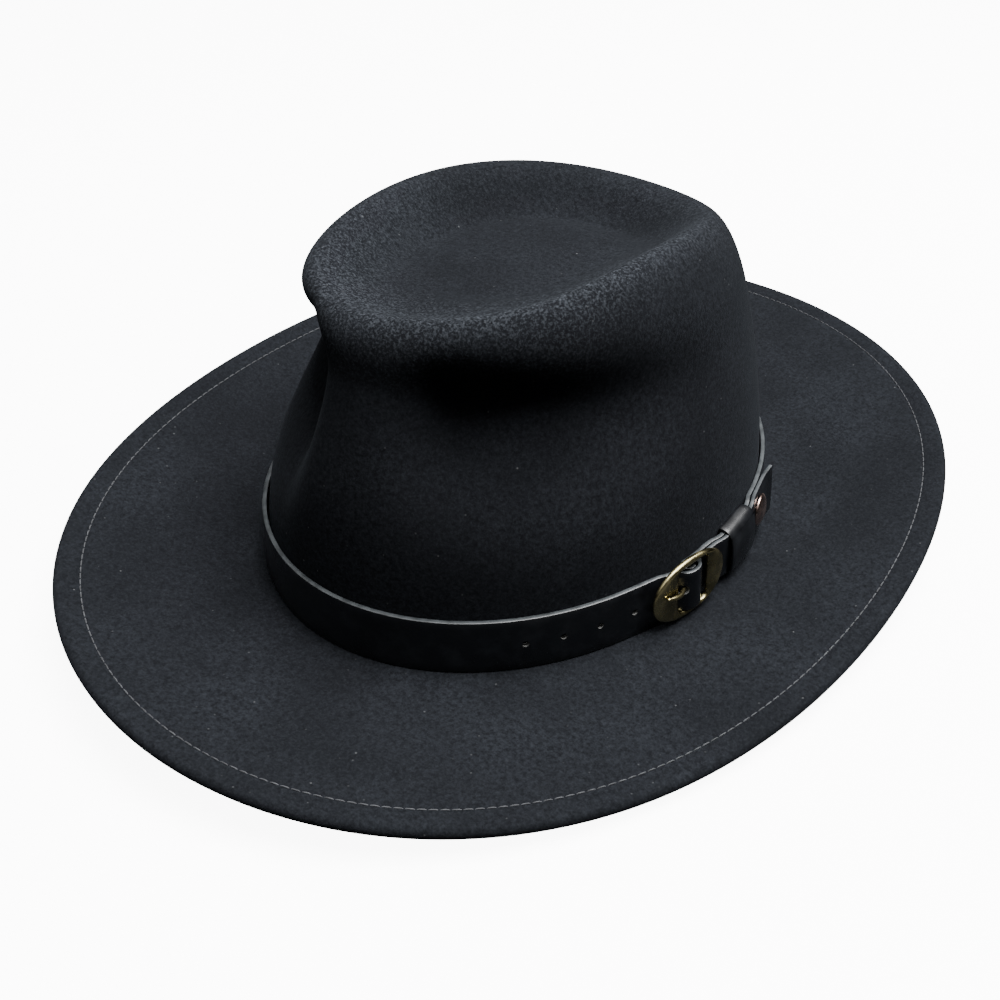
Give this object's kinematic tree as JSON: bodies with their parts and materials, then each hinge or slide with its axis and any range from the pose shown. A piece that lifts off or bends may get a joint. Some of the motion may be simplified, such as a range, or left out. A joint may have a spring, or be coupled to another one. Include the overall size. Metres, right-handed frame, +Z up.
{
  "type": "western hat",
  "caption": "Pinch-front western hat of black felt with a dished crown, a stitched upswept brim and a black leather band fastened by an oval brass buckle on the wearer's left.",
  "frame": {"origin": "under the middle of the brim's length and width, on the surface that the hat rests on", "axes": "+Z up from the brim towards the crown's top, -Y the way the hat faces, +X to the wearer's left"},
  "size_m": [0.2864, 0.3564, 0.1191],
  "materials": {
    "felt": "matt napped wool felt",
    "band_leather": "glossy smooth",
    "antique_brass": "antique, semi-gloss",
    "antique_copper": "antique copper, semi-gloss"
  },
  "bodies": {
    "root": {"felt_body": "felt", "hat_band": "band_leather", "band_keeper": "band_leather", "buckle_frame": "antique_brass", "buckle_prong": "antique_brass", "band_rivet": "antique_copper"}
  },
  "joints": []
}
